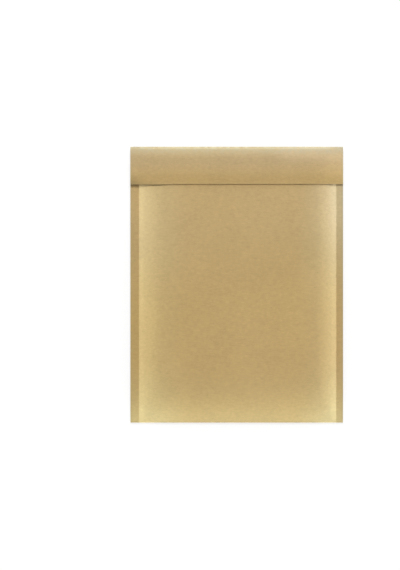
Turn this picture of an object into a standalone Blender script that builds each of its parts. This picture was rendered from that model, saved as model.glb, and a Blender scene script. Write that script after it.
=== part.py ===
"""A padded kraft bubble mailer lying on its back, its flap folded down over the mouth.

Metres, +Z up. +Y runs from the bottom fold to the flap, +X to the right as the flap side is seen, and the
origin is on the surface that the mailer lies on, under its middle. Each sheet is laid out flat, as it is cut,
and is then folded: a point of a sheet is its place across the mailer, its run along the sheet and its depth
under the envelope's outer face.
"""

import math

import bmesh
import bpy

# Outline of the folded mailer
MAILER_WIDTH = 0.2159
MAILER_LENGTH = 0.2802
FLAP_LENGTH = 0.0380
LEFT_SEAM = 0.0086
RIGHT_SEAM = 0.0067

# Sheets, from the outside in
PAPER = 0.00025
FILM = 0.00025
BUBBLE_HEIGHT = 0.0030
POCKET_GAP = 0.0004
ADHESIVE_THICKNESS = 0.0002
LINER_THICKNESS = 0.00015
CLEARANCE = 0.0003

# How the padded pouch falls away to its edges
LEFT_FALL = 0.042
RIGHT_FALL = 0.034
BOTTOM_FALL = 0.050
TOP_FALL = 0.020
BOTTOM_FULLNESS = 0.28
TOP_FULLNESS = 0.30
BOTTOM_SAG = 0.85
BOTTOM_FOLD_INNER = 0.0007
TOP_FOLD_DEPTH = 0.0030

# Mouth and flap. A droop is the share of its height over the seam that the flap loses at that side.
MOUTH_MARGIN = 0.0015
LEFT_DROOP = 0.11
RIGHT_DROOP = 0.60

# Bubbles of the lining
BUBBLE_PITCH = 0.016
BUBBLE_SHOULDER = 0.0032
LINING_SETBACK = 0.0020
LINING_FOLD_MARGIN = 0.0010

# Closure under the flap
ADHESIVE_WIDTH = 0.012
ADHESIVE_FROM_EDGE = 0.008
ADHESIVE_FROM_SIDE = 0.009
LINER_OVERHANG = 0.0025

# Steps of the sheets' grids, and how much closer together they stand where a sheet curves most
FOLD_STEPS = 4
FALL_STEPS = 6
LEVEL_STEPS = 2
STEP_EASING = 1.4
SHARP_ANGLE = math.radians(35)

# Colours and finishes
KRAFT_COLOUR = (0.50, 0.35, 0.165, 1.0)
FILM_COLOUR = (0.86, 0.88, 0.90, 1.0)
ADHESIVE_COLOUR = (0.78, 0.74, 0.62, 1.0)
LINER_COLOUR = (0.90, 0.90, 0.87, 1.0)

# Worked out from the sizes above
LINING_DEPTH = PAPER + CLEARANCE
THICKNESS = 2 * (LINING_DEPTH + FILM + BUBBLE_HEIGHT) + POCKET_GAP
CROWN = THICKNESS / 2 - PAPER
SEAM_HEIGHT = THICKNESS / 2
BOTTOM_FOLD_DEPTH = LINING_DEPTH + FILM + BOTTOM_FOLD_INNER
MOUTH_SETBACK = TOP_FOLD_DEPTH + MOUTH_MARGIN
FLAP_LIFT = 3 * CLEARANCE + ADHESIVE_THICKNESS + LINER_THICKNESS
ADHESIVE_DEPTH = PAPER + CLEARANCE
LINER_DEPTH = ADHESIVE_DEPTH + ADHESIVE_THICKNESS + CLEARANCE
LEFT_EDGE = -MAILER_WIDTH / 2
RIGHT_EDGE = MAILER_WIDTH / 2
LEFT_SEAL = LEFT_EDGE + LEFT_SEAM
RIGHT_SEAL = RIGHT_EDGE - RIGHT_SEAM
BOTTOM_EDGE = -MAILER_LENGTH / 2
TOP_EDGE = MAILER_LENGTH / 2
BOTTOM_FOLD_RUN = BOTTOM_FOLD_DEPTH * math.pi / 2
TOP_FOLD_RUN = TOP_FOLD_DEPTH * math.pi / 2
WELD = 1e-6
HALVINGS = 40


def rise(share):
    """How far the padding has risen, 0 to 1: steepest at the edge and level at the end of its fall."""
    t = min(max(share, 0.0), 1.0)
    return (35 * t - 35 * t**3 + 21 * t**5 - 5 * t**7) / 16


def half_thickness(x, y):
    """From the plane of the seams to the envelope's outer face, on the front and on the back alike."""
    side = min(rise((x - LEFT_SEAL) / LEFT_FALL), rise((RIGHT_SEAL - x) / RIGHT_FALL))
    if side <= 0:
        return PAPER
    bottom = BOTTOM_FULLNESS + (1 - BOTTOM_FULLNESS) * rise((y - BOTTOM_EDGE) / BOTTOM_FALL)
    top = TOP_FULLNESS + (1 - TOP_FULLNESS) * rise((TOP_EDGE - y) / TOP_FALL)
    return PAPER + CROWN / math.sqrt(side**-2 + (bottom * top) ** -2 - 1)


def seam_height(y):
    """Height of the plane of the seams. It sags towards the bottom fold, and a sag of 1 lays the back level."""
    fall = 1 - rise((y - BOTTOM_EDGE) / BOTTOM_FALL)
    return SEAM_HEIGHT - BOTTOM_SAG * CROWN * (1 - BOTTOM_FULLNESS) * fall


def flap_height(x, y):
    """Height of the flap's outer face. It lies over the closure, and droops where the pouch falls away."""
    level_height = half_thickness(0.0, y) + FLAP_LIFT + PAPER
    left = max(LEFT_SEAL + LEFT_FALL - x, 0.0) / (LEFT_SEAM + LEFT_FALL)
    right = max(x - RIGHT_SEAL + RIGHT_FALL, 0.0) / (RIGHT_SEAM + RIGHT_FALL)
    return SEAM_HEIGHT + level_height * (1 - LEFT_DROOP * left**2 - RIGHT_DROOP * right**2)


def pouch_point(x, run, depth):
    """A point of the pouch. The run starts at the bottom fold: up the front above 0, up the back below it."""
    side = math.copysign(1.0, run)
    if abs(run) < BOTTOM_FOLD_RUN:
        angle = abs(run) / BOTTOM_FOLD_DEPTH
        inward = depth + (BOTTOM_FOLD_DEPTH - depth) * (1 - math.cos(angle))
        share = math.sin(angle)
    else:
        inward = BOTTOM_FOLD_DEPTH + abs(run) - BOTTOM_FOLD_RUN
        share = 1.0
    y = BOTTOM_EDGE + inward
    return x, y, seam_height(y) + side * share * (half_thickness(x, y) - depth)


def closure_point(x, run, depth):
    """A point of the paper past the mouth. The run starts at the top fold, down the flap above 0."""
    side = math.copysign(1.0, run)
    if abs(run) < TOP_FOLD_RUN:
        angle = abs(run) / TOP_FOLD_DEPTH
        inward = depth + (TOP_FOLD_DEPTH - depth) * (1 - math.cos(angle))
        share = math.sin(angle)
    else:
        inward = TOP_FOLD_DEPTH + abs(run) - TOP_FOLD_RUN
        share = 1.0
    y = TOP_EDGE - inward
    above = flap_height(x, y)
    below = SEAM_HEIGHT - half_thickness(x, y)
    return x, y, (above + below) / 2 + side * share * ((above - below) / 2 - depth)


def pouch_run(from_bottom):
    """The run along the pouch that lies this far above the bottom edge."""
    return BOTTOM_FOLD_RUN + from_bottom - BOTTOM_FOLD_DEPTH


def closure_run(from_top):
    """The run along the flap, or along the back, that lies this far below the top edge."""
    return TOP_FOLD_RUN + from_top - TOP_FOLD_DEPTH


def eased(start, end, steps):
    """Stops from start to end, closest together at the start, where the sheet curves most."""
    return [start + (end - start) * (k / steps) ** STEP_EASING for k in range(steps + 1)]


def even(start, end, steps):
    return [start + (end - start) * k / steps for k in range(steps + 1)]


def new_object(name, bm, material, collection):
    bmesh.ops.recalc_face_normals(bm, faces=bm.faces)
    mesh = bpy.data.meshes.new(name)
    bm.to_mesh(mesh)
    bm.free()
    mesh.shade_smooth()
    mesh.set_sharp_from_angle(angle=SHARP_ANGLE)
    mesh.materials.append(material)
    obj = bpy.data.objects.new(name, mesh)
    collection.objects.link(obj)
    return obj


def new_material(name, colour, roughness):
    material = bpy.data.materials.new(name)
    material.use_nodes = True
    shader = material.node_tree.nodes["Principled BSDF"]
    shader.inputs["Base Color"].default_value = colour
    shader.inputs["Roughness"].default_value = roughness
    shader.inputs["Metallic"].default_value = 0.0
    return material


def flat_sheet(columns, rows):
    """A closed sheet laid out flat, its vertices at whole numbers: column, row, and 0 outside or 1 inside."""
    bm = bmesh.new()
    bmesh.ops.create_grid(bm, x_segments=columns - 1, y_segments=rows - 1, size=0.5)
    for vert in bm.verts:
        vert.co.x = round((vert.co.x + 0.5) * (columns - 1))
        vert.co.y = round((vert.co.y + 0.5) * (rows - 1))
    raised = bmesh.ops.extrude_face_region(bm, geom=bm.faces[:])["geom"]
    for item in raised:
        if isinstance(item, bmesh.types.BMVert):
            item.co.z = 1.0
    return bm


def fold(bm, columns, rows, depths):
    """Moves a flat sheet's vertices to their folded places. Each row is a place function and its run."""
    for vert in bm.verts:
        place, run = rows[round(vert.co.y)]
        vert.co = place(columns[round(vert.co.x)], run, depths[round(vert.co.z)])


def envelope_columns():
    """Places across the mailer: both edges, both seams and the falls beside them."""
    left = eased(LEFT_SEAL, LEFT_SEAL + LEFT_FALL, FALL_STEPS)
    right = eased(RIGHT_SEAL, RIGHT_SEAL - RIGHT_FALL, FALL_STEPS)[::-1]
    level = even(left[-1], right[0], LEVEL_STEPS)[1:-1]
    return [LEFT_EDGE] + left + level + right + [RIGHT_EDGE]


def pouch_stops():
    """Runs along one face of the pouch, from the bottom fold up to the mouth."""
    crease = even(0.0, BOTTOM_FOLD_RUN, FOLD_STEPS)
    bottom = [pouch_run(d) for d in eased(BOTTOM_FOLD_DEPTH, BOTTOM_FALL, FALL_STEPS)]
    top = [pouch_run(MAILER_LENGTH - d) for d in eased(MOUTH_SETBACK, TOP_FALL, FOLD_STEPS)][::-1]
    level = even(bottom[-1], top[0], LEVEL_STEPS)[1:-1]
    return crease + bottom[1:] + level + top


def closure_stops():
    """Runs of the paper past the mouth: up the back, round the top fold, and down the flap to its edge."""
    crease = even(-TOP_FOLD_RUN, TOP_FOLD_RUN, 2 * FOLD_STEPS)
    bend = [closure_run(d) for d in eased(TOP_FOLD_DEPTH, TOP_FALL, FOLD_STEPS)]
    level = even(bend[-1], closure_run(FLAP_LENGTH), LEVEL_STEPS)
    return crease + bend[1:] + level[1:]


def kraft_envelope(material, collection):
    """One sheet of kraft: front, bottom fold, back, top fold and flap, sealed to itself along both sides."""
    columns = envelope_columns()
    pouch = pouch_stops()
    rows = [(pouch_point, run) for run in reversed(pouch)]
    rows += [(pouch_point, -run) for run in pouch[1:]]
    mouth_row = len(rows) - 1
    rows += [(closure_point, run) for run in closure_stops()]
    bm = flat_sheet(len(columns), len(rows))
    last = len(columns) - 1
    sealed = []
    for face in bm.faces:
        across = {round(v.co.x) for v in face.verts}
        along = max(round(v.co.y) for v in face.verts)
        inside = all(v.co.z > 0.5 for v in face.verts)
        if inside and along <= mouth_row and (across == {0, 1} or across == {last - 1, last}):
            sealed.append(face)
    bmesh.ops.delete(bm, geom=sealed, context="FACES_ONLY")
    fold(bm, columns, rows, (0.0, PAPER))
    bmesh.ops.remove_doubles(bm, verts=bm.verts, dist=WELD)
    return new_object("kraft_envelope", bm, material, collection)


def lining_edge(seal, inward):
    """Where the pouch has opened enough beside a seam to take both layers of film, at its thinnest end."""
    need = LINING_DEPTH + FILM + POCKET_GAP / 2
    tight, roomy = seal, seal + inward
    for _ in range(HALVINGS):
        middle = (tight + roomy) / 2
        if half_thickness(middle, BOTTOM_EDGE) < need:
            tight = middle
        else:
            roomy = middle
    return roomy


def bubble_height(x, run):
    """Bubbles keep their full height where the pouch is full, and are pressed flatter towards its edges."""
    y = pouch_point(x, run, LINING_DEPTH)[1]
    room = half_thickness(x, y) - LINING_DEPTH - FILM - POCKET_GAP / 2
    return min(BUBBLE_HEIGHT, max(room, 0.0))


def cell_pitch(left, right):
    """The bubbles' pitch, fitted so that a whole number of cells fills the film from side to side."""
    return (right - left) / round((right - left) / BUBBLE_PITCH)


def cell_tips(left, right):
    """Places across the film where its cells' tips meet a straight end, with the film's two edges."""
    pitch = cell_pitch(left, right)
    return [left] + [left + pitch * (k + 0.5) for k in range(round((right - left) / pitch))] + [right]


def hexagon(x, run, pitch, radius):
    low, high = run - radius / 2, run + radius / 2
    near, far = x - pitch / 2, x + pitch / 2
    return [(x, run - radius), (far, low), (far, high), (x, run + radius), (near, high), (near, low)]


def film_cells(left, right, start, end):
    """Tiles a flat film with staggered rows of hexagonal cells, one to a bubble, and fills its ends.

    Gives (corners, is a bubble), with corners as (place across, run). The number of rows is odd, so that the
    first and the last row are alike.
    """
    pitch = cell_pitch(left, right)
    across = round((right - left) / pitch)
    rows = 2 * round(((end - start) * math.sqrt(3) / pitch - 2) / 3) + 1
    radius = (end - start) / (1.5 * rows + 0.5)
    for row in range(rows):
        middle = start + radius * (1 + 1.5 * row)
        offset = row % 2
        for k in range(across - offset):
            yield hexagon(left + pitch * (k + 0.5 + 0.5 * offset), middle, pitch, radius), True
        for edge, inner in ((left, left + pitch / 2), (right, right - pitch / 2)) if offset else ():
            low, high = middle - radius / 2, middle + radius / 2
            yield [(edge, middle - radius), (inner, low), (inner, high), (edge, middle + radius)], False
    tips = cell_tips(left, right)
    notches = [left] + [(a + b) / 2 for a, b in zip(tips[1:-1], tips[2:-1])] + [right]
    for line, notch_run in ((start, start + radius / 2), (end, end - radius / 2)):
        for a, b, notch in zip(tips, tips[1:], notches):
            yield [(a, line), (b, line), (notch, notch_run)], False


def fold_band(left, right, start):
    """The plain band of film round the bottom fold, between the bubbles of the front and of the back."""
    tips = cell_tips(left, right)
    half = even(0.0, BOTTOM_FOLD_RUN, FOLD_STEPS) + [start]
    runs = [-run for run in reversed(half[1:])] + half
    for low, high in zip(runs, runs[1:]):
        for a, b in zip(tips, tips[1:]):
            yield [(a, low), (b, low), (b, high), (a, high)], False


def bubble_lining(material, collection):
    """One piece of bubble film, folded like the paper, with its bubbles facing into the pocket."""
    left = lining_edge(LEFT_SEAL, LEFT_FALL)
    right = lining_edge(RIGHT_SEAL, -RIGHT_FALL)
    start = BOTTOM_FOLD_RUN + LINING_FOLD_MARGIN
    end = pouch_run(MAILER_LENGTH - MOUTH_SETBACK - LINING_SETBACK)
    bm = bmesh.new()
    bubbles = bm.faces.layers.int.new("bubble")
    front = list(film_cells(left, right, start, end))
    back = [([(x, -run) for x, run in corners], bubble) for corners, bubble in front]
    for corners, bubble in front + back + list(fold_band(left, right, start)):
        face = bm.faces.new([bm.verts.new((x, run, 0.0)) for x, run in corners])
        face[bubbles] = bubble
    bmesh.ops.remove_doubles(bm, verts=bm.verts, dist=WELD)
    bmesh.ops.recalc_face_normals(bm, faces=bm.faces)
    raised = bmesh.ops.extrude_face_region(bm, geom=bm.faces[:])["geom"]
    for item in raised:
        if isinstance(item, bmesh.types.BMVert):
            item.co.z = FILM
    tops = [f for f in raised if isinstance(f, bmesh.types.BMFace) and f[bubbles]]
    bmesh.ops.inset_individual(bm, faces=tops, thickness=BUBBLE_SHOULDER)
    for vert in {v for face in tops for v in face.verts}:
        vert.co.z = FILM + bubble_height(vert.co.x, vert.co.y)
    for vert in bm.verts:
        vert.co = pouch_point(vert.co.x, vert.co.y, LINING_DEPTH + vert.co.z)
    return new_object("bubble_lining", bm, material, collection)


def flap_strip(name, from_edge, width, from_side, depth, thickness, material, collection):
    """A strip under the flap, parallel to its free edge."""
    left, right = LEFT_EDGE + from_side, RIGHT_EDGE - from_side
    columns = [left] + [x for x in envelope_columns() if left + WELD < x < right - WELD] + [right]
    start = closure_run(FLAP_LENGTH - from_edge - width)
    rows = [(closure_point, run) for run in even(start, start + width, LEVEL_STEPS)]
    bm = flat_sheet(len(columns), len(rows))
    fold(bm, columns, rows, (depth, depth + thickness))
    return new_object(name, bm, material, collection)


def main():
    for obj in list(bpy.data.objects):
        bpy.data.objects.remove(obj)
    mailer = bpy.data.collections.new("bubble_mailer")
    bpy.context.scene.collection.children.link(mailer)
    kraft = new_material("kraft paper", KRAFT_COLOUR, 0.85)
    film = new_material("bubble film", FILM_COLOUR, 0.25)
    glue = new_material("hot-melt adhesive", ADHESIVE_COLOUR, 0.35)
    silicone = new_material("silicone paper", LINER_COLOUR, 0.45)
    kraft_envelope(kraft, mailer)
    bubble_lining(film, mailer)
    flap_strip(
        "adhesive_strip", ADHESIVE_FROM_EDGE, ADHESIVE_WIDTH, ADHESIVE_FROM_SIDE,
        ADHESIVE_DEPTH, ADHESIVE_THICKNESS, glue, mailer,
    )
    flap_strip(
        "release_liner", ADHESIVE_FROM_EDGE - LINER_OVERHANG, ADHESIVE_WIDTH + 2 * LINER_OVERHANG,
        ADHESIVE_FROM_SIDE - LINER_OVERHANG, LINER_DEPTH, LINER_THICKNESS, silicone, mailer,
    )


main()
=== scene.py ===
"""Looks of a padded kraft mailer that lies on its back with its flap closed, seen from straight above.

Metres, in the part's own frame: +X to the right, +Y from the bottom fold to the flap, +Z up. Each sheet is
laid out flat, as it is cut, and is then folded: a point of a sheet is its place across the mailer, its run
along the sheet and its depth under the envelope's outer face.
"""

import math

import bpy
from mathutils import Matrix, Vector, noise


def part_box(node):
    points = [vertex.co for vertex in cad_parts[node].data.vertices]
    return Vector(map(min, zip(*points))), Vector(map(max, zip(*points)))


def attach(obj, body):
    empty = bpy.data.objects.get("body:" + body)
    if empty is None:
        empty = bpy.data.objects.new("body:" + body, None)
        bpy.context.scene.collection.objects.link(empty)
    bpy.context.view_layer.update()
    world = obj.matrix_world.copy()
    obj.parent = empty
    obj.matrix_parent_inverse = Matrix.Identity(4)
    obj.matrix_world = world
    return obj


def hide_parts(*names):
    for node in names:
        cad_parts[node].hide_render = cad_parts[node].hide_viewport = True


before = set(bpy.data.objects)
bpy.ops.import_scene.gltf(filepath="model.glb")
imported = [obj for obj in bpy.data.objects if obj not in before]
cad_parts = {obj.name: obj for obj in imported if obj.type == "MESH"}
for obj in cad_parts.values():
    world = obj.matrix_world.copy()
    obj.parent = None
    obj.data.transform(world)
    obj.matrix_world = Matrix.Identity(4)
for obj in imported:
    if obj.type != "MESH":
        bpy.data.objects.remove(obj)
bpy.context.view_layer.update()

# Camera
# It looks straight down from far above through a long lens, because the photograph is square on and shows no
# convergence. The mailer's outline in the picture, in pixels, gives a pixel's size and the camera's place.
PICTURE_WIDTH, PICTURE_HEIGHT = 400, 570
OUTLINE_LEFT, OUTLINE_RIGHT = 130.5, 342.8
OUTLINE_TOP, OUTLINE_BOTTOM = 147.0, 422.5
CAMERA_DISTANCE = 2.6

mailer_low, mailer_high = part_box("kraft_envelope")
pixel = (mailer_high.x - mailer_low.x) / (OUTLINE_RIGHT - OUTLINE_LEFT)
camera_x = (PICTURE_WIDTH / 2 - (OUTLINE_LEFT + OUTLINE_RIGHT) / 2) * pixel
camera_y = ((OUTLINE_TOP + OUTLINE_BOTTOM) / 2 - PICTURE_HEIGHT / 2) * pixel
bpy.ops.object.camera_add(location=(camera_x, camera_y, CAMERA_DISTANCE), rotation=(0.0, 0.0, 0.0))
camera = bpy.context.object
camera.name = "camera"
camera.data.lens = camera.data.sensor_width * CAMERA_DISTANCE / (PICTURE_HEIGHT * pixel)
bpy.context.scene.camera = camera

# Kraft envelope
# One sheet of brown kraft paper, folded once at the bottom and heat-sealed to itself along both sides. Its
# back runs on past the mouth, round the top fold, and comes down over the front as the flap. The padding
# inside crowns both faces, and the sealed sides lie flat.
PAPER = 0.00025
POUCH_THICKNESS = 0.0080
LEFT_SEAM = 0.0086
RIGHT_SEAM = 0.0067
FLAP_LENGTH = 0.0380
LEFT_FALL = 0.042
RIGHT_FALL = 0.034
BOTTOM_FALL = 0.050
TOP_FALL = 0.020
BOTTOM_FULLNESS = 0.28
TOP_FULLNESS = 0.30
BOTTOM_SAG = 0.85
BOTTOM_FOLD_DEPTH = 0.0015
TOP_FOLD_DEPTH = 0.0030
MOUTH_SETBACK = 0.0045
LEFT_DROOP = 0.30
RIGHT_DROOP = 0.60
KRAFT = (0.512, 0.354, 0.139, 1.0)
KRAFT_PINKER = (0.528, 0.366, 0.155, 1.0)
# Pale grey paper for the painted highlight and sheen along the top fold and the flap's free edge, and for the
# paler side edges
KRAFT_PALE_AND_SHEEN = (0.486, 0.415, 0.216, 1.0)
# Pale paper for the painted highlight on the padding's shoulders and the seals
KRAFT_HIGHLIGHT = (0.625, 0.512, 0.243, 1.0)
SEAL_TINT = (1.0, 0.99, 0.94)
# Grey tint for the coolness up the mailer and for the painted sheen on the right shoulder
COOL_AND_SHEEN_TINT = (0.98, 1.045, 1.38)

SEAM_HEIGHT = POUCH_THICKNESS / 2
CROWN = SEAM_HEIGHT - PAPER
FLAP_RISE = mailer_high.z - POUCH_THICKNESS
LEFT_EDGE, RIGHT_EDGE = mailer_low.x, mailer_high.x
LEFT_SEAL, RIGHT_SEAL = LEFT_EDGE + LEFT_SEAM, RIGHT_EDGE - RIGHT_SEAM
BOTTOM_EDGE, TOP_EDGE = mailer_low.y, mailer_high.y
BOTTOM_FOLD_RUN = BOTTOM_FOLD_DEPTH * math.pi / 2
TOP_FOLD_RUN = TOP_FOLD_DEPTH * math.pi / 2

# The paper never lies quite level: long low waves, smaller ones where the bubbles press on it, and short
# puckers beside the seals, which run square to them. The flap's free edge bows down towards its left end.
WAVE_LENGTH, WAVE_DEPTH = 0.060, 0.00010
RIPPLE_LENGTH, RIPPLE_DEPTH = 0.016, 0.00002
WAVE_FADE = 0.012
PUCKER_WIDTH, PUCKER_HEIGHT = 0.012, 0.00030
PUCKER_START, PUCKER_REACH = 0.006, 0.034
FLAP_BOW = 0.0005
FLAP_BOW_START, FLAP_BOW_END = 0.052, 0.086
FLAP_SEED, PUCKER_SEED = 3.0, 2.0

# How finely the sheet is divided: steps across and along it, easings that bring the steps closer together
# where the paper bends, and rows under the flap's free edge, as distances from it
SEAM_STEPS, LEFT_STEPS, MIDDLE_STEPS, RIGHT_STEPS = 5, 24, 58, 18
SEAM_EASING, SHOULDER_EASING = 1.8, 1.4
BOTTOM_FOLD_STEPS, BOTTOM_STEPS, BODY_STEPS, MOUTH_STEPS = 6, 22, 96, 8
TOP_FOLD_STEPS, FLAP_STEPS = 20, 20
BOTTOM_EASING, FLAP_EASING = 1.3, 1.1
FLAP_SHADOW_ROWS = (-0.0022, -0.0015, -0.0010, -0.0005, 0.0, 0.0005)
PAPER_SMOOTH_ANGLE = math.radians(35)
WELD = 1e-6

# Paler side edges, and a painted highlight and sheen along the flap's free edge and the top fold
SIDE_PALING, FREE_EDGE_HIGHLIGHT, EDGE_PALING_WIDTH = 0.45, 0.15, 0.0022
FOLD_SHEEN_WIDTH = 0.012

# Painted highlight, which pales the padding's shoulders and the seals. Across a shoulder, a reach is a share
# of its fall. Up the mailer, a height, reach, start or end is a share of its length. The highlight on the
# sides is weaker low down.
HIGHLIGHT_REACH, HIGHLIGHT_TAIL_REACH = 0.45, 1.4
LEFT_TAIL, RIGHT_TAIL, BOTTOM_TAIL = 0.80, 0.65, 0.55
LEFT_HIGHLIGHT, ONE_SIDED_HIGHLIGHT, CORNER_HIGHLIGHT = 0.90, 0.50, 0.45
HIGHLIGHT_DIP_HEIGHT, HIGHLIGHT_DIP_REACH = 0.33, 0.40
LEFT_HIGHLIGHT_DIP, RIGHT_HIGHLIGHT_DIP = 0.20, 0.45
LOW_SEAL_HIGHLIGHT, LOW_SEAL_HIGHLIGHT_REACH = 0.36, 0.25
RIGHT_SEAL_HIGHLIGHT, RIGHT_SEAL_HIGHLIGHT_START, RIGHT_SEAL_HIGHLIGHT_END = 0.85, 0.38, 0.80

# Tone, all painted: painted light on the upper pouch and the flap's upper right corner, painted shade along
# the folds, the flap's free edge and its lower corners, painted shadow lines under the ends of the flap's
# free edge and on its cut edge at the left, and darker side edges
PAINTED_TOP_LIGHT, PAINTED_TOP_LIGHT_START, PAINTED_TOP_LIGHT_END = 0.07, 0.62, 0.80
FLAP_EDGE_SHADE, FLAP_EDGE_SHADE_START, FLAP_EDGE_SHADE_END = 0.065, 0.007, 0.013
CORNER_SHADE, CORNER_SHADE_HEIGHT, CORNER_SHADE_WIDTH = 0.26, 0.011, 0.018
RIGHT_CORNER_SHARE = 0.40
CUT_SHADOW, CUT_SHADOW_WIDTH, CUT_SHADOW_START, CUT_SHADOW_END = 0.15, 0.0010, 0.020, 0.036
PAINTED_CORNER_LIGHT, PAINTED_CORNER_LIGHT_START, PAINTED_CORNER_LIGHT_END = 0.09, 0.030, 0.055
PAINTED_CORNER_LIGHT_HEIGHT, PAINTED_CORNER_LIGHT_LIMIT = 0.009, 0.020
FLAP_SHADOW_LINE, FLAP_SHADOW_WIDTH = 0.55, 0.0016
LEFT_FLAP_SHADOW_START, LEFT_FLAP_SHADOW_END = 0.024, 0.042
RIGHT_FLAP_SHADOW_SHARE, RIGHT_FLAP_SHADOW_START, RIGHT_FLAP_SHADOW_END = 0.45, 0.010, 0.022
EDGE_DARKENING_WIDTH, BOTTOM_FOLD_SHADE, SIDE_EDGE_DARKENING = 0.0022, 0.46, 0.08
FOLD_SHADE_EASE, FOLD_SHADE_EASE_START, FOLD_SHADE_EASE_END = 0.45, 0.012, 0.032
TOP_FOLD_SHADE, TOP_FOLD_SHADE_WIDTH = 0.62, 0.0022

# Coolness, which turns the paper from yellow to grey up the pouch and up the flap, and painted sheen, which
# greys its right shoulder and the flap's upper right corner
COOL_BODY, COOL_BODY_START, COOL_BODY_END = 0.35, 0.35, 0.75
SHOULDER_SHEEN, HIGH_SHOULDER_SHEEN, SHOULDER_SHEEN_START, SHOULDER_SHEEN_END = 0.20, 0.50, 0.45, 0.85
COOL_FLAP, COOL_FLAP_START, COOL_FLAP_END, CORNER_SHEEN = 0.75, 0.002, 0.026, 0.30


def rise(share):
    """How far the padding has risen, 0 to 1: steepest at the edge and level at the end of its fall."""
    t = min(max(share, 0.0), 1.0)
    return (35 * t - 35 * t**3 + 21 * t**5 - 5 * t**7) / 16


def smooth_step(value, start, end):
    t = min(max((value - start) / (end - start), 0.0), 1.0)
    return t * t * (3 - 2 * t)


def half_thickness(x, y):
    """From the plane of the seams to the envelope's outer face, on the front and on the back alike."""
    side = min(rise((x - LEFT_SEAL) / LEFT_FALL), rise((RIGHT_SEAL - x) / RIGHT_FALL))
    if side <= 0:
        return PAPER
    bottom = BOTTOM_FULLNESS + (1 - BOTTOM_FULLNESS) * rise((y - BOTTOM_EDGE) / BOTTOM_FALL)
    top = TOP_FULLNESS + (1 - TOP_FULLNESS) * rise((TOP_EDGE - y) / TOP_FALL)
    return PAPER + CROWN / math.sqrt(side**-2 + (bottom * top) ** -2 - 1)


def seam_height(y):
    """Height of the seams' plane. It sags towards the bottom fold, and a sag of 1 lays the back level."""
    fall = 1 - rise((y - BOTTOM_EDGE) / BOTTOM_FALL)
    return SEAM_HEIGHT - BOTTOM_SAG * CROWN * (1 - BOTTOM_FULLNESS) * fall


def flap_height(x, y):
    """Height of the flap's outer face. It lies over the closure, and droops where the pouch falls away."""
    level_height = half_thickness(0.0, y) + FLAP_RISE
    left = max(LEFT_SEAL + LEFT_FALL - x, 0.0) / (LEFT_SEAM + LEFT_FALL)
    right = max(x - RIGHT_SEAL + RIGHT_FALL, 0.0) / (RIGHT_SEAM + RIGHT_FALL)
    return SEAM_HEIGHT + level_height * (1 - LEFT_DROOP * left**2 - RIGHT_DROOP * right**2)


def waves(x, run, seed):
    """How far the paper sinks below its full shape, from nothing to the depth of its waves and ripples."""
    long_wave = noise.noise(Vector((x, run, seed)) / WAVE_LENGTH)
    ripple = noise.noise(Vector((x, run, seed + 1.0)) / RIPPLE_LENGTH)
    return WAVE_DEPTH * (0.5 + 0.5 * long_wave) + RIPPLE_DEPTH * (0.5 + 0.5 * ripple)


def pouch_point(x, run, depth):
    """A point of the pouch. The run starts at the bottom fold: above 0 up the front, below 0 up the back."""
    side = math.copysign(1.0, run)
    beside = min(x - LEFT_SEAL, RIGHT_SEAL - x)
    fade = smooth_step(beside, 0.0, WAVE_FADE) * smooth_step(abs(run), 0.0, WAVE_FADE)
    depth += waves(x, run, side) * fade
    if abs(run) < BOTTOM_FOLD_RUN:
        angle = abs(run) / BOTTOM_FOLD_DEPTH
        inward = depth + (BOTTOM_FOLD_DEPTH - depth) * (1 - math.cos(angle))
        share = math.sin(angle)
    else:
        inward = BOTTOM_FOLD_DEPTH + abs(run) - BOTTOM_FOLD_RUN
        share = 1.0
    y = BOTTOM_EDGE + inward
    return x, y, seam_height(y) + side * share * (half_thickness(x, y) - depth)


def panel_point(x, run, depth):
    """A point of the paper's front or back panel, which stands off the lining in puckers near the seals."""
    beside = min(x - LEFT_SEAL, RIGHT_SEAL - x)
    near = smooth_step(beside, 0.0, PUCKER_START) * (1.0 - smooth_step(beside, PUCKER_START, PUCKER_REACH))
    from_end = min(abs(run), pouch_run(TOP_EDGE - BOTTOM_EDGE - MOUTH_SETBACK) - abs(run))
    pucker = 0.5 + 0.5 * noise.noise(Vector((x / PUCKER_REACH, run / PUCKER_WIDTH, PUCKER_SEED)))
    raised = PUCKER_HEIGHT * pucker * near * smooth_step(from_end, 0.0, WAVE_FADE)
    return pouch_point(x, run, depth - raised)


def flap_bow(x):
    """How much lower the flap's free edge lies at a place across the mailer than it does in the middle."""
    return FLAP_BOW * smooth_step(-x, FLAP_BOW_START, FLAP_BOW_END)


def closure_point(x, run, depth):
    """A point past the mouth. The run starts at the top fold: above 0 down the flap, else down the back."""
    side = math.copysign(1.0, run)
    if run > 0:
        depth += waves(x, run, FLAP_SEED) * smooth_step(run, TOP_FOLD_RUN, TOP_FOLD_RUN + WAVE_FADE)
    if abs(run) < TOP_FOLD_RUN:
        angle = abs(run) / TOP_FOLD_DEPTH
        inward = depth + (TOP_FOLD_DEPTH - depth) * (1 - math.cos(angle))
        share = math.sin(angle)
    else:
        inward = TOP_FOLD_DEPTH + abs(run) - TOP_FOLD_RUN
        share = 1.0
    if run > 0:
        inward += flap_bow(x) * inward / FLAP_LENGTH
    y = TOP_EDGE - inward
    above = flap_height(x, y)
    below = SEAM_HEIGHT - half_thickness(x, y)
    return x, y, (above + below) / 2 + side * share * ((above - below) / 2 - depth)


def pouch_run(from_bottom):
    """The run along the pouch that lies this far above the bottom edge."""
    return BOTTOM_FOLD_RUN + from_bottom - BOTTOM_FOLD_DEPTH


def closure_run(from_top):
    """The run along the flap, or along the back, that lies this far below the top edge."""
    return TOP_FOLD_RUN + from_top - TOP_FOLD_DEPTH


def stops(start, end, steps, easing=1.0):
    """Places from start to end, closer together at the start where the easing is above 1."""
    return [start + (end - start) * (k / steps) ** easing for k in range(steps + 1)]


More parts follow.
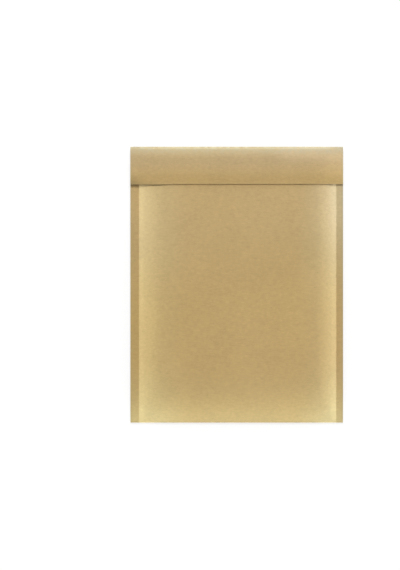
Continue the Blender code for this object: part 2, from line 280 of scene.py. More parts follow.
def envelope_columns():
    """Places across the mailer, closest together beside the seams, where the paper bends most."""
    left = stops(LEFT_SEAL, LEFT_SEAL + LEFT_FALL, LEFT_STEPS, SHOULDER_EASING)
    right = stops(RIGHT_SEAL, RIGHT_SEAL - RIGHT_FALL, RIGHT_STEPS, SHOULDER_EASING)[::-1]
    left_seam = stops(LEFT_SEAL, LEFT_EDGE + EDGE_DARKENING_WIDTH / 2, SEAM_STEPS, SEAM_EASING)[::-1]
    right_seam = stops(RIGHT_SEAL, RIGHT_EDGE - EDGE_DARKENING_WIDTH / 2, SEAM_STEPS, SEAM_EASING)
    middle = stops(left[-1], right[0], MIDDLE_STEPS)
    return [LEFT_EDGE] + left_seam[:-1] + left + middle[1:-1] + right + right_seam[1:] + [RIGHT_EDGE]


def envelope_rows():
    """Rows of the sheet, each a place function and its run, and which row lies at the mouth of the back."""
    darkening = stops(0.0, BOTTOM_FOLD_RUN, BOTTOM_FOLD_STEPS)
    from_bottom = stops(BOTTOM_FOLD_DEPTH, BOTTOM_FALL, BOTTOM_STEPS, BOTTOM_EASING)
    bottom = [pouch_run(d) for d in from_bottom]
    from_top = stops(MOUTH_SETBACK, TOP_FALL, MOUTH_STEPS)
    top = [pouch_run(TOP_EDGE - BOTTOM_EDGE - d) for d in from_top][::-1]
    body = stops(bottom[-1], top[0], BODY_STEPS)
    under_edge = [pouch_run(TOP_EDGE - FLAP_LENGTH + d - BOTTOM_EDGE) for d in FLAP_SHADOW_ROWS]
    pouch = sorted(darkening + bottom[1:] + body[1:-1] + top + under_edge)
    rows = [(panel_point, run) for run in reversed(pouch)] + [(panel_point, -run) for run in pouch[1:]]
    top_fold = stops(-TOP_FOLD_RUN, TOP_FOLD_RUN, TOP_FOLD_STEPS)
    down_flap = stops(TOP_FOLD_DEPTH, FLAP_LENGTH - CUT_SHADOW_WIDTH, FLAP_STEPS, FLAP_EASING) + [FLAP_LENGTH]
    flap = [closure_run(d) for d in down_flap]
    return rows + [(closure_point, run) for run in top_fold + flap[1:]], len(rows) - 1


def flat_sheet(name, columns, rows):
    """A sheet laid out flat, its vertices at whole numbers: column, row, and 0 outside or 1 inside."""
    bpy.ops.object.select_all(action="DESELECT")
    across, along = len(columns) - 1, len(rows) - 1
    bpy.ops.mesh.primitive_grid_add(x_subdivisions=across, y_subdivisions=along, size=1.0)
    sheet = bpy.context.object
    sheet.name = name
    sheet.data.name = name
    for vert in sheet.data.vertices:
        vert.co.x = round((vert.co.x + 0.5) * across)
        vert.co.y = round((vert.co.y + 0.5) * along)
    bpy.ops.object.mode_set(mode="EDIT")
    bpy.ops.mesh.extrude_region_move(TRANSFORM_OT_translate={"value": (0.0, 0.0, 1.0)})
    bpy.ops.mesh.select_all(action="DESELECT")
    bpy.ops.object.mode_set(mode="OBJECT")
    return sheet


def fold(sheet, columns, rows, depths):
    """Moves a flat sheet's vertices to their folded places, welds it and points its faces outwards."""
    for vert in sheet.data.vertices:
        place, run = rows[round(vert.co.y)]
        vert.co = place(columns[round(vert.co.x)], run, depths[round(vert.co.z)])
    bpy.ops.object.mode_set(mode="EDIT")
    bpy.ops.mesh.select_all(action="SELECT")
    bpy.ops.mesh.remove_doubles(threshold=WELD)
    bpy.ops.mesh.normals_make_consistent(inside=False)
    bpy.ops.object.mode_set(mode="OBJECT")
    bpy.ops.object.shade_smooth_by_angle(angle=PAPER_SMOOTH_ANGLE)


def surface_mask(piece, name, value_at):
    """Stores a value at each vertex, for the piece's material to read."""
    stored = piece.data.attributes.new(name, "FLOAT", "POINT")
    stored.data.foreach_set("value", [value_at(vert.co) for vert in piece.data.vertices])


def height_share(point):
    """How far up the mailer a point lies, from 0 at the bottom edge to 1 at the top edge."""
    return (point.y - BOTTOM_EDGE) / (TOP_EDGE - BOTTOM_EDGE)


def on_flap(point):
    """Whether a point belongs to the flap, and not to the pouch under it."""
    pouch = seam_height(point.y) + half_thickness(point.x, point.y)
    middle = (pouch + flap_height(point.x, point.y)) / 2
    return point.z > middle and point.y > TOP_EDGE - FLAP_LENGTH - 2 * FLAP_BOW


def seal_at(point):
    """1 where the two panels are sealed together, and 0 on the pouch and on the flap."""
    outside = point.x < LEFT_SEAL + WELD or point.x > RIGHT_SEAL - WELD
    return float(outside and abs(point.z - seam_height(point.y)) < 2 * PAPER)


def highlight_falloff(share, tail):
    """How far a shoulder's painted highlight reaches: most at its edge, with a long tail of this strength."""
    near = 1.0 - smooth_step(share, 0.0, HIGHLIGHT_REACH)
    far = 1.0 - smooth_step(share, 0.0, HIGHLIGHT_TAIL_REACH)
    return near + tail * (far - near)


def painted_highlight_at(point):
    """Painted highlight on the shoulders and the seals, most in the lower corners."""
    if on_flap(point):
        return 0.0
    up = height_share(point)
    if seal_at(point):
        side = LOW_SEAL_HIGHLIGHT * (1.0 - smooth_step(up, 0.0, LOW_SEAL_HIGHLIGHT_REACH))
        if point.x > 0:
            side += RIGHT_SEAL_HIGHLIGHT * smooth_step(up, RIGHT_SEAL_HIGHLIGHT_START, RIGHT_SEAL_HIGHLIGHT_END)
    else:
        highlight_dip = 1.0 - smooth_step(abs(up - HIGHLIGHT_DIP_HEIGHT), 0.0, HIGHLIGHT_DIP_REACH)
        left = (1.0 - LEFT_HIGHLIGHT_DIP * highlight_dip) * highlight_falloff((point.x - LEFT_SEAL) / LEFT_FALL, LEFT_TAIL)
        right = (1.0 - RIGHT_HIGHLIGHT_DIP * highlight_dip) * highlight_falloff((RIGHT_SEAL - point.x) / RIGHT_FALL, RIGHT_TAIL)
        side = max(LEFT_HIGHLIGHT * left, right)
    end = highlight_falloff((point.y - BOTTOM_EDGE) / BOTTOM_FALL, BOTTOM_TAIL)
    return min(ONE_SIDED_HIGHLIGHT * (side + end) + CORNER_HIGHLIGHT * side * end, 1.0)


def paling_and_sheen_at(point):
    """How far the paper is paled: painted highlight and sheen, most at the top fold and least at the flap's
    free edge, and paler side edges.
    """
    beside = min(point.x - LEFT_EDGE, RIGHT_EDGE - point.x)
    paling_and_sheen = SIDE_PALING * (1.0 - smooth_step(beside, 0.0, EDGE_PALING_WIDTH))
    if on_flap(point):
        above = point.y - (TOP_EDGE - FLAP_LENGTH)
        paling_and_sheen = max(paling_and_sheen, FREE_EDGE_HIGHLIGHT * (1.0 - smooth_step(above, 0.0, EDGE_PALING_WIDTH)))
    return max(paling_and_sheen, 1.0 - smooth_step(TOP_EDGE - point.y, 0.0, FOLD_SHEEN_WIDTH))


def upper_right(point):
    """1 in the upper right corner of the flap, where painted light and painted sheen make it paler and
    greyer, and 0 away from it.
    """
    upper = 1.0 - smooth_step(TOP_EDGE - point.y, PAINTED_CORNER_LIGHT_HEIGHT, PAINTED_CORNER_LIGHT_LIMIT)
    return upper * smooth_step(point.x, PAINTED_CORNER_LIGHT_START, PAINTED_CORNER_LIGHT_END)


def flap_shadow_at(point):
    """Painted shadow on the front of the pouch, in a line under both ends of the flap's free edge."""
    if point.z < seam_height(point.y):
        return 0.0
    from_edge = abs(point.y - (TOP_EDGE - FLAP_LENGTH - flap_bow(point.x)))
    left = 1.0 - smooth_step(point.x - LEFT_EDGE, LEFT_FLAP_SHADOW_START, LEFT_FLAP_SHADOW_END)
    right = 1.0 - smooth_step(RIGHT_EDGE - point.x, RIGHT_FLAP_SHADOW_START, RIGHT_FLAP_SHADOW_END)
    return FLAP_SHADOW_LINE * (1.0 - smooth_step(from_edge, 0.0, FLAP_SHADOW_WIDTH)) * max(left, RIGHT_FLAP_SHADOW_SHARE * right)


def painted_light_and_shade_at(point):
    """The paper's tone about 1, all painted light and shade: painted light at the top, painted shade along
    the folds and the flap's edge, and painted shadows.
    """
    beside = min(point.x - LEFT_EDGE, RIGHT_EDGE - point.x)
    eased = FOLD_SHADE_EASE * (1.0 - smooth_step(beside, FOLD_SHADE_EASE_START, FOLD_SHADE_EASE_END))
    bottom = BOTTOM_FOLD_SHADE * (1.0 - eased)
    # Painted shade along the bottom and top folds, and darker along the side edges
    darkening = max(
        bottom * (1.0 - smooth_step(point.y - BOTTOM_EDGE, 0.0, EDGE_DARKENING_WIDTH)),
        TOP_FOLD_SHADE * (1.0 - smooth_step(TOP_EDGE - point.y, 0.0, TOP_FOLD_SHADE_WIDTH)),
        SIDE_EDGE_DARKENING * (1.0 - smooth_step(beside, 0.0, EDGE_DARKENING_WIDTH)),
    )
    if not on_flap(point):
        # Painted light on the upper part of the pouch
        painted_light = PAINTED_TOP_LIGHT * smooth_step(height_share(point), PAINTED_TOP_LIGHT_START, PAINTED_TOP_LIGHT_END)
        # Painted shadow lines under both ends of the flap's free edge
        return (1.0 - darkening + painted_light) * (1.0 - flap_shadow_at(point))
    above = point.y - (TOP_EDGE - FLAP_LENGTH)
    # Painted shade along the flap's free edge and in its lower corners, most at the left
    edge = 1.0 - smooth_step(above, FLAP_EDGE_SHADE_START, FLAP_EDGE_SHADE_END)
    low = 1.0 - smooth_step(above, 0.0, CORNER_SHADE_HEIGHT)
    left = 1.0 - smooth_step(point.x - LEFT_EDGE, 0.0, CORNER_SHADE_WIDTH)
    right = RIGHT_CORNER_SHARE * (1.0 - smooth_step(RIGHT_EDGE - point.x, 0.0, CORNER_SHADE_WIDTH))
    # Painted shadow on the flap's cut edge towards its left end
    cut = 1.0 - smooth_step(above, 0.0, CUT_SHADOW_WIDTH)
    cut *= 1.0 - smooth_step(point.x - LEFT_EDGE, CUT_SHADOW_START, CUT_SHADOW_END)
    flap_shade = FLAP_EDGE_SHADE * edge + CORNER_SHADE * low * max(left, right) + CUT_SHADOW * cut
    # Painted light in the flap's upper right corner
    return 1.0 - darkening - flap_shade + PAINTED_CORNER_LIGHT * upper_right(point)


def cool_and_sheen_at(point):
    """How far the paper turns from yellow to grey: up the pouch and up the flap, and as painted sheen on its
    right shoulder and the flap's upper right corner.
    """
    if on_flap(point):
        above = point.y - (TOP_EDGE - FLAP_LENGTH)
        up_flap = smooth_step(above, COOL_FLAP_START, COOL_FLAP_END)
        return COOL_FLAP * up_flap + CORNER_SHEEN * upper_right(point)
    up = height_share(point)
    side = SHOULDER_SHEEN + HIGH_SHOULDER_SHEEN * smooth_step(up, SHOULDER_SHEEN_START, SHOULDER_SHEEN_END)
    shoulder = highlight_falloff((RIGHT_SEAL - point.x) / RIGHT_FALL, RIGHT_TAIL)
    return COOL_BODY * smooth_step(up, COOL_BODY_START, COOL_BODY_END) + side * shoulder


def new_node(tree, kind, values=(), **settings):
    """A node with its settings. Its inputs are pairs of a socket and a value or another node's output."""
    made = tree.nodes.new("ShaderNode" + kind)
    for name, value in settings.items():
        setattr(made, name, value)
    for socket, value in values:
        if isinstance(value, bpy.types.NodeSocket):
            tree.links.new(value, made.inputs[socket])
        else:
            made.inputs[socket].default_value = value
    return made


def math_node(tree, operation, *values):
    return new_node(tree, "Math", enumerate(values), operation=operation).outputs[0]


def colour_mix(tree, share, first, second):
    """Blends two colours by a share, where 0 gives the first. Each is a colour or another node's output."""
    return new_node(tree, "Mix", ((0, share), (6, first), (7, second)), data_type="RGBA").outputs[2]


def scaled_colour(tree, colour, tone):
    """A colour made lighter or darker by a tone about 1."""
    inputs = ((0, colour), ("Scale", tone))
    return new_node(tree, "VectorMath", inputs, operation="SCALE").outputs[0]


def tinted_colour(tree, colour, tint):
    return new_node(tree, "VectorMath", ((0, colour), (1, tint)), operation="MULTIPLY").outputs[0]


def object_place(tree):
    return new_node(tree, "TexCoord").outputs["Object"]


def mask(tree, name):
    return new_node(tree, "Attribute", attribute_name=name).outputs["Fac"]


def add_bump(tree, shader, height, distance, strength):
    """Gives a shader a relief from a height, which the distance in metres scales."""
    inputs = (("Height", height), ("Distance", distance), ("Strength", strength))
    tree.links.new(new_node(tree, "Bump", inputs).outputs[0], shader.inputs["Normal"])


def noise_about(tree, vector, size, spread, detail=2.0):
    """A noise with features of this size, which goes about as far as the spread to each side of 0."""
    texture = new_node(tree, "TexNoise", (("Vector", vector), ("Scale", 1 / size), ("Detail", detail)))
    centred = math_node(tree, "SUBTRACT", texture.outputs[0], 0.5)
    return math_node(tree, "MULTIPLY", centred, 4 * spread)


def stretched(tree, vector, along, across, turn):
    """Coordinates in which a noise of size 1 becomes fibres of this length and width, turned by an angle."""
    turned = new_node(tree, "Mapping", (("Vector", vector), ("Rotation", (0.0, 0.0, turn)))).outputs[0]
    scale = (1 / along, 1 / across, 1 / across)
    return new_node(tree, "Mapping", (("Vector", turned), ("Scale", scale))).outputs[0]


# What kraft and the liner's paper are made of. Sizes are in metres, a fibre is its length, width and turn,
# and a spread is how far each goes from the middle tone. A fleck's two edges are shares of the spacing.
CLOUD_SIZE, CLOUD_SPREAD = 0.045, 0.020
MOTTLE_SIZE, MOTTLE_SPREAD, MOTTLE_DETAIL = 0.0032, 0.030, 3.0
LYING_FIBRE, LYING_SPREAD = (0.0060, 0.0006, math.radians(4)), 0.035
CROSSING_FIBRE, CROSSING_SPREAD = (0.0035, 0.0004, math.radians(-24)), 0.020
FLECK_SPACING, FLECK_INNER, FLECK_OUTER, FLECK_TONE = 0.007, 0.03, 0.07, -0.10
FIBRE_RELIEF = 5.0


def paper_fibres():
    """The make-up of paper: clouds of pulp, short fibres and flecks, as a tone about 1 and a height."""
    group = bpy.data.node_groups.new("paper_fibres", "ShaderNodeTree")
    sockets = group.interface
    sockets.new_socket("Vector", in_out="INPUT", socket_type="NodeSocketVector")
    sockets.new_socket("Contrast", in_out="INPUT", socket_type="NodeSocketFloat")
    sockets.new_socket("Tone", in_out="OUTPUT", socket_type="NodeSocketFloat")
    sockets.new_socket("Height", in_out="OUTPUT", socket_type="NodeSocketFloat")
    start = group.nodes.new("NodeGroupInput")
    end = group.nodes.new("NodeGroupOutput")
    vector = start.outputs["Vector"]
    clouds = noise_about(group, vector, CLOUD_SIZE, CLOUD_SPREAD)
    mottle = noise_about(group, vector, MOTTLE_SIZE, MOTTLE_SPREAD, MOTTLE_DETAIL)
    lying = noise_about(group, stretched(group, vector, *LYING_FIBRE), 1.0, LYING_SPREAD)
    crossing = noise_about(group, stretched(group, vector, *CROSSING_FIBRE), 1.0, CROSSING_SPREAD)
    fibres = math_node(group, "ADD", lying, crossing)
    cells = new_node(group, "TexVoronoi", (("Vector", vector), ("Scale", 1 / FLECK_SPACING)))
    from_fleck = (
        ("Value", cells.outputs["Distance"]), ("From Min", FLECK_INNER), ("From Max", FLECK_OUTER),
        ("To Min", FLECK_TONE), ("To Max", 0.0),
    )
    fleck = new_node(group, "MapRange", from_fleck).outputs[0]
    fine = math_node(group, "ADD", fibres, mottle)
    varied = math_node(group, "ADD", math_node(group, "ADD", fine, clouds), fleck)
    tone = math_node(group, "MULTIPLY_ADD", varied, start.outputs["Contrast"], 1.0)
    group.links.new(tone, end.inputs["Tone"])
    group.links.new(math_node(group, "MULTIPLY_ADD", fine, FIBRE_RELIEF, 0.5), end.inputs["Height"])
    return group


def new_material(name, roughness):
    material = bpy.data.materials.new(name)
    material.use_nodes = True
    shader = material.node_tree.nodes["Principled BSDF"]
    shader.inputs["Roughness"].default_value = roughness
    return material, material.node_tree, shader


# Kraft's gloss, its contrast of fibres, its drifts of hue, the broken outline of its paler edges and painted
# sheen, and its relief
KRAFT_ROUGHNESS, KRAFT_SPECULAR = 0.85, 0.25
KRAFT_CONTRAST = 1.8
HUE_SIZE, HUE_SPREAD, HUE_DETAIL = 0.16, 0.5, 1.0
PALING_BREAK_SIZE, PALING_BREAK_SPREAD, PALING_BREAK_DETAIL, PALING_BREAK_MIDDLE = 0.004, 0.4, 3.0, 0.75
KRAFT_RELIEF, KRAFT_RELIEF_STRENGTH = 0.00006, 0.5


def kraft_paper(fibres_group):
    """Brown kraft, paled by a painted highlight and sheen, lit and shaded by a painted tone, yellower at the
    seals and greyer up the mailer.
    """
    material, tree, shader = new_material("kraft_paper", KRAFT_ROUGHNESS)
    shader.inputs["Specular IOR Level"].default_value = KRAFT_SPECULAR
    place = object_place(tree)
    fibre_inputs = (("Vector", place), ("Contrast", KRAFT_CONTRAST))
    fibres = new_node(tree, "Group", fibre_inputs, node_tree=fibres_group)
    hue = math_node(tree, "ADD", noise_about(tree, place, HUE_SIZE, HUE_SPREAD, HUE_DETAIL), 0.5)
    paper = colour_mix(tree, hue, KRAFT, KRAFT_PINKER)
    # Painted highlight on the padding's shoulders and the seals
    highlighted_paper = colour_mix(tree, mask(tree, "painted_highlight"), paper, KRAFT_HIGHLIGHT)
    # The tone mask carries painted light and shade
    tone = math_node(tree, "MULTIPLY", fibres.outputs["Tone"], mask(tree, "tone"))
    toned = scaled_colour(tree, highlighted_paper, tone)
    with_seams = colour_mix(tree, mask(tree, "seal"), toned, tinted_colour(tree, toned, SEAL_TINT))
    # Paler side edges, and a painted highlight and sheen along the top fold and the flap's free edge
    breaks = noise_about(tree, place, PALING_BREAK_SIZE, PALING_BREAK_SPREAD, PALING_BREAK_DETAIL)
    broken = math_node(tree, "ADD", breaks, PALING_BREAK_MIDDLE)
    paling_share = math_node(tree, "MULTIPLY", mask(tree, "paling_and_sheen"), broken)
    paling_share.node.use_clamp = True
    paled = colour_mix(tree, paling_share, with_seams, KRAFT_PALE_AND_SHEEN)
    # Greyer up the pouch and up the flap, with painted sheen on the right shoulder and the flap's upper right
    # corner
    cooled = colour_mix(tree, mask(tree, "cool_and_sheen"), paled, tinted_colour(tree, paled, COOL_AND_SHEEN_TINT))
    tree.links.new(cooled, shader.inputs["Base Color"])
    add_bump(tree, shader, fibres.outputs["Height"], KRAFT_RELIEF, KRAFT_RELIEF_STRENGTH)
    return material


# The two panels are one where they are sealed, so their inner faces come off there before the fold
columns = envelope_columns()
rows, mouth_row = envelope_rows()
envelope = flat_sheet("envelope", columns, rows)
left_seal_column = columns.index(LEFT_SEAL)
right_seal_column = columns.index(RIGHT_SEAL)
for face in envelope.data.polygons:
    inside = all(envelope.data.vertices[v].co.z > 0.5 for v in face.vertices)
    beside_left = max(envelope.data.vertices[v].co.x for v in face.vertices) <= left_seal_column
    beside_right = min(envelope.data.vertices[v].co.x for v in face.vertices) >= right_seal_column
    along = max(envelope.data.vertices[v].co.y for v in face.vertices)
    face.select = inside and along <= mouth_row and (beside_left or beside_right)
bpy.ops.object.mode_set(mode="EDIT")
bpy.ops.mesh.delete(type="FACE")
bpy.ops.object.mode_set(mode="OBJECT")
fold(envelope, columns, rows, (0.0, PAPER))
surface_mask(envelope, "seal", seal_at)
# The next four masks carry painted light, shade, highlights and sheen, and also paler edges and coolness
surface_mask(envelope, "painted_highlight", painted_highlight_at)
surface_mask(envelope, "paling_and_sheen", paling_and_sheen_at)
surface_mask(envelope, "tone", painted_light_and_shade_at)
surface_mask(envelope, "cool_and_sheen", cool_and_sheen_at)
fibres_group = paper_fibres()
envelope.data.materials.append(kraft_paper(fibres_group))
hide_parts("kraft_envelope")
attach(envelope, "root")

# Bubble lining
# One piece of clear bubble film, folded at the bottom like the paper, with its flat ply against the paper and
# its bubbles facing into the pocket. The bubbles stand in staggered rows, pressed flatter towards the edges.
FILM = 0.00025
BUBBLE_HEIGHT = 0.0030
BUBBLE_RADIUS = 0.0066
BUBBLE_PITCH = 0.016
POCKET_GAP = 0.0004
CLEARANCE = 0.0003
LINING_SETBACK = 0.0020
LINING_FOLD_MARGIN = 0.0010
LINING_DEPTH = PAPER + CLEARANCE
BUBBLE_FLATNESS = 0.6
BUBBLE_SIDES = 12
BUBBLE_RINGS = 8
BUBBLE_SMOOTH_ANGLE = math.radians(60)
FILM_COLUMNS, FILM_FOLD_STEPS, FILM_STEPS = 50, 8, 66
HALVINGS = 40
FILM_TONE = (0.86, 0.89, 0.92, 1.0)
FILM_ROUGHNESS = 0.12
HAZE_SIZE, HAZE_SPREAD, HAZE_MIDDLE = 0.006, 0.10, 0.45
CRINKLE_SIZE, CRINKLE_SPREAD, CRINKLE_DETAIL = 0.0025, 0.5, 3.0
CRINKLE_RELIEF, CRINKLE_STRENGTH = 0.0002, 0.5


def lining_edge(seal, inward):
    """Where the pouch has opened enough beside a seam to take both layers of film, at its thinnest end."""
    need = LINING_DEPTH + FILM + POCKET_GAP / 2
    tight, roomy = seal, seal + inward
    for _ in range(HALVINGS):
        middle = (tight + roomy) / 2
        if half_thickness(middle, BOTTOM_EDGE) < need:
            tight = middle
        else:
            roomy = middle
    return roomy


def bubble_room(x, run):
    """The height that a bubble has at a place in the pouch: full in the middle, less towards the edges."""
    y = BOTTOM_EDGE + BOTTOM_FOLD_DEPTH + max(abs(run) - BOTTOM_FOLD_RUN, 0.0)
    room = half_thickness(x, y) - LINING_DEPTH - FILM - POCKET_GAP / 2
    return min(BUBBLE_HEIGHT, max(room, 0.0))


def bubble_places(left, right, start, end):
    """Middles of the bubbles of one face, in an odd number of staggered rows."""
    across = round((right - left) / BUBBLE_PITCH)
    pitch = (right - left) / across
    rows_up = 2 * round(((end - start) * math.sqrt(3) / pitch - 2) / 3) + 1
    radius = (end - start) / (1.5 * rows_up + 0.5)
    for row in range(rows_up):
        offset = row % 2
        for k in range(across - offset):
            yield left + pitch * (k + 0.5 + 0.5 * offset), start + radius * (1 + 1.5 * row)


def bubble_film():
    """Clear glossy film, a little hazy and finely crinkled."""
    material, tree, shader = new_material("bubble_film", FILM_ROUGHNESS)
    place = object_place(tree)
    shader.inputs["Base Color"].default_value = FILM_TONE
    haze = math_node(tree, "ADD", noise_about(tree, place, HAZE_SIZE, HAZE_SPREAD), HAZE_MIDDLE)
    tree.links.new(haze, shader.inputs["Alpha"])
    crinkle = noise_about(tree, place, CRINKLE_SIZE, CRINKLE_SPREAD, CRINKLE_DETAIL)
    add_bump(tree, shader, crinkle, CRINKLE_RELIEF, CRINKLE_STRENGTH)
    return material


lining_left = lining_edge(LEFT_SEAL, LEFT_FALL)
lining_right = lining_edge(RIGHT_SEAL, -RIGHT_FALL)
lining_start = BOTTOM_FOLD_RUN + LINING_FOLD_MARGIN
lining_end = pouch_run(TOP_EDGE - BOTTOM_EDGE - MOUTH_SETBACK - LINING_SETBACK)
film_columns = stops(lining_left, lining_right, FILM_COLUMNS)
film_runs = stops(0.0, lining_start, FILM_FOLD_STEPS) + stops(lining_start, lining_end, FILM_STEPS)[1:]
film_rows = [(pouch_point, run) for run in film_runs[::-1]] + [(pouch_point, -run) for run in film_runs[1:]]
lining = flat_sheet("lining", film_columns, film_rows)
fold(lining, film_columns, film_rows, (LINING_DEPTH, LINING_DEPTH + FILM))

# One half sphere is the model for all the bubbles, and its copies are set on both layers of the film
bpy.ops.object.select_all(action="DESELECT")
bpy.ops.mesh.primitive_uv_sphere_add(segments=BUBBLE_SIDES, ring_count=BUBBLE_RINGS, radius=1.0)
bubble = bpy.context.object
bpy.ops.object.mode_set(mode="EDIT")
bpy.ops.mesh.select_all(action="SELECT")
bpy.ops.mesh.bisect(plane_co=(0.0, 0.0, 0.0), plane_no=(0.0, 0.0, 1.0), clear_inner=True, use_fill=True)
bpy.ops.object.mode_set(mode="OBJECT")
bpy.ops.object.shade_smooth_by_angle(angle=BUBBLE_SMOOTH_ANGLE)
bubbles = []
for x, run in bubble_places(lining_left, lining_right, lining_start, lining_end):
    for side in (1, -1):
        copy = bubble.copy()
        copy.data = bubble.data.copy()
        bpy.context.collection.objects.link(copy)
        for vert in copy.data.vertices:
            at_x = x + BUBBLE_RADIUS * vert.co.x
            at_run = run + BUBBLE_RADIUS * vert.co.y
            raised = bubble_room(at_x, at_run) * max(vert.co.z, 0.0) ** BUBBLE_FLATNESS
            vert.co = pouch_point(at_x, side * at_run, LINING_DEPTH + FILM + raised)
        if side > 0:
            copy.data.flip_normals()
        bubbles.append(copy)
bpy.data.objects.remove(bubble)
bpy.ops.object.select_all(action="DESELECT")
for copy in bubbles:
    copy.select_set(True)
lining.select_set(True)
bpy.context.view_layer.objects.active = lining
bpy.ops.object.join()
lining.data.materials.clear()
lining.data.materials.append(bubble_film())
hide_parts("bubble_lining")
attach(lining, "root")

# Adhesive strip
# A band of hot-melt adhesive, coated on the flap's inner face near its free edge. It is laid down wet, so
# its edges wander a little.
ADHESIVE_WIDTH = 0.012
ADHESIVE_FROM_EDGE = 0.008
ADHESIVE_FROM_SIDE = 0.009
ADHESIVE_THICKNESS = 0.0002
ADHESIVE_DEPTH = PAPER + CLEARANCE
ADHESIVE_WANDER = 0.0003
ADHESIVE_WANDER_LENGTH = 0.007
ADHESIVE_TONE = (0.80, 0.74, 0.58)
ADHESIVE_ROUGHNESS = 0.30
STREAK, STREAK_SPREAD = (0.02, 0.0008, 0.0), 0.06
STREAK_RELIEF, STREAK_STRENGTH = 0.001, 0.4
STRIP_COLUMNS, STRIP_ROWS = 120, 8


def adhesive_point(x, run, depth):
    wander = ADHESIVE_WANDER * noise.noise(Vector((x, run, 0.0)) / ADHESIVE_WANDER_LENGTH)
    return closure_point(x, run + wander, depth)


def flap_strip(name, place, from_side, from_edge, width, depth, thickness):
    """A strip under the flap, parallel to its free edge."""
    across = stops(LEFT_EDGE + from_side, RIGHT_EDGE - from_side, STRIP_COLUMNS)
    start = closure_run(FLAP_LENGTH - from_edge - width)
    along = [(place, run) for run in stops(start, start + width, STRIP_ROWS)]
    strip = flat_sheet(name, across, along)
    fold(strip, across, along, (depth, depth + thickness))
    return strip


def hot_melt():
    """Pale hot melt, with the streaks of the nozzle that laid it down."""
    material, tree, shader = new_material("hot_melt", ADHESIVE_ROUGHNESS)
    streaks = stretched(tree, object_place(tree), *STREAK)
    tone = math_node(tree, "ADD", noise_about(tree, streaks, 1.0, STREAK_SPREAD), 1.0)
    tree.links.new(scaled_colour(tree, ADHESIVE_TONE, tone), shader.inputs["Base Color"])
    add_bump(tree, shader, tone, STREAK_RELIEF, STREAK_STRENGTH)
    return material


adhesive = flap_strip(
    "adhesive", adhesive_point, ADHESIVE_FROM_SIDE, ADHESIVE_FROM_EDGE, ADHESIVE_WIDTH,
    ADHESIVE_DEPTH, ADHESIVE_THICKNESS,
)
adhesive.data.materials.append(hot_melt())
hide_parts("adhesive_strip")
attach(adhesive, "root")

# Release liner
# A strip of white silicone-coated paper over the adhesive, a little larger than it all round, so that it can
# be picked up and peeled off.
LINER_OVERHANG = 0.0025
LINER_THICKNESS = 0.00015
LINER_DEPTH = ADHESIVE_DEPTH + ADHESIVE_THICKNESS + CLEARANCE
LINER_TONE = (0.88, 0.88, 0.85)
LINER_ROUGHNESS = 0.38
LINER_CONTRAST = 0.35
LINER_RELIEF, LINER_RELIEF_STRENGTH = 0.00003, 0.4


def silicone_paper(fibres_group):
    """White paper with faint fibres under a smooth coating."""
    material, tree, shader = new_material("silicone_paper", LINER_ROUGHNESS)
    fibre_inputs = (("Vector", object_place(tree)), ("Contrast", LINER_CONTRAST))
    fibres = new_node(tree, "Group", fibre_inputs, node_tree=fibres_group)
    coated = scaled_colour(tree, LINER_TONE, fibres.outputs["Tone"])
    tree.links.new(coated, shader.inputs["Base Color"])
    add_bump(tree, shader, fibres.outputs["Height"], LINER_RELIEF, LINER_RELIEF_STRENGTH)
    return material


liner = flap_strip(
    "liner", closure_point, ADHESIVE_FROM_SIDE - LINER_OVERHANG, ADHESIVE_FROM_EDGE - LINER_OVERHANG,
    ADHESIVE_WIDTH + 2 * LINER_OVERHANG, LINER_DEPTH, LINER_THICKNESS,
)
liner.data.materials.append(silicone_paper(fibres_group))
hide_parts("release_liner")
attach(liner, "root")

# Floor
# A plain white surface far larger than the mailer. It shows white to the camera, and keeps the soft shadow
# where the mailer rests on it. It glows more where the lamps don't reach, so that it stays white there too.
FLOOR_SIZE = 12.0
FLOOR_GREY = (0.38, 0.38, 0.38, 1.0)
WHITE = (1.0, 1.0, 1.0, 1.0)
NEAR_GLOW, FAR_GLOW = 0.68, 0.90
NEAR_RADIUS, FAR_RADIUS = 0.45, 1.4


def seen_directly(tree):
    """1 on rays from the camera, on reflections and through clear film, and 0 where light only falls."""
    path = new_node(tree, "LightPath")
    seen = math_node(tree, "MAXIMUM", path.outputs["Is Camera Ray"], path.outputs["Is Glossy Ray"])
    return math_node(tree, "MAXIMUM", seen, path.outputs["Is Transmission Ray"])


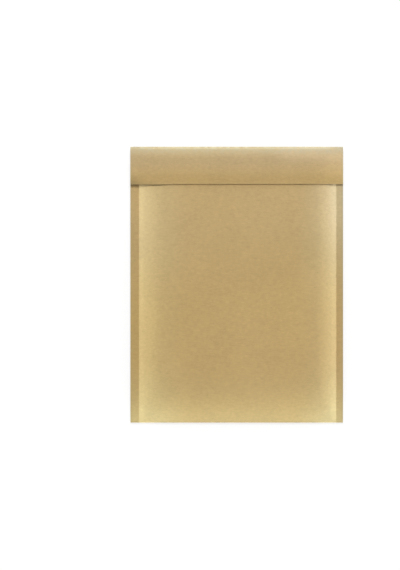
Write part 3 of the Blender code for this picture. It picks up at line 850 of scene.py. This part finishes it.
bpy.ops.object.select_all(action="DESELECT")
bpy.ops.mesh.primitive_plane_add(size=FLOOR_SIZE)
floor = bpy.context.object
floor.name = "floor"
floor_material, tree, shader = new_material("white_floor", 1.0)
shader.inputs["Base Color"].default_value = FLOOR_GREY
shader.inputs["Specular IOR Level"].default_value = 0.0
shader.inputs["Emission Color"].default_value = WHITE
from_middle = new_node(tree, "VectorMath", ((0, object_place(tree)),), operation="LENGTH").outputs["Value"]
rising = (
    ("Value", from_middle), ("From Min", NEAR_RADIUS), ("From Max", FAR_RADIUS),
    ("To Min", NEAR_GLOW), ("To Max", FAR_GLOW),
)
glow = new_node(tree, "MapRange", rising, interpolation_type="SMOOTHSTEP").outputs[0]
tree.links.new(math_node(tree, "MULTIPLY", seen_directly(tree), glow), shader.inputs["Emission Strength"])
floor.data.materials.append(floor_material)

# Light
# A soft key lamp above the flap's end, low strips along all four sides that graze the paper and light the
# padding's shoulders, and a dim even sky.
SKY = 0.28

# Each lamp's azimuth and elevation in degrees, its distance, width and height in metres, and its level
LAMPS = {
    "key_lamp": (90, 52, 2.4, 1.0, 0.7, 0.53),
    "left_strip": (175, 3.2, 1.6, 0.9, 0.08, 1.5),
    "right_strip": (5, 3.2, 1.6, 0.9, 0.08, 1.65),
    "bottom_strip": (270, 3.2, 1.6, 0.9, 0.08, 1.6),
    "top_strip": (90, 2.0, 2.2, 1.2, 0.08, 0.85),
}

world = bpy.data.worlds.new("studio")
bpy.context.scene.world = world
world.use_nodes = True
tree = world.node_tree
background = tree.nodes["Background"]
background.inputs["Color"].default_value = WHITE
tree.links.new(math_node(tree, "MAXIMUM", seen_directly(tree), SKY), background.inputs["Strength"])


def soft_lamp(name, azimuth, elevation, distance, width, height, level):
    """An area lamp aimed at the mailer. A white card that faces it there would render at this level."""
    around, up = math.radians(azimuth), math.radians(elevation)
    towards = Vector((math.cos(up) * math.cos(around), math.cos(up) * math.sin(around), math.sin(up)))
    bpy.ops.object.light_add(type="AREA", location=towards * distance + Vector((0.0, 0.0, SEAM_HEIGHT)))
    lamp = bpy.context.object
    lamp.name = name
    lamp.rotation_euler = towards.to_track_quat("Z", "Y").to_euler()
    lamp.data.shape = "RECTANGLE"
    lamp.data.size = width
    lamp.data.size_y = height
    lamp.data.energy = level * (math.pi * distance) ** 2
    lamp.visible_camera = False


for lamp_name, lamp_values in LAMPS.items():
    soft_lamp(lamp_name, *lamp_values)

bpy.context.scene.view_settings.view_transform = "Standard"
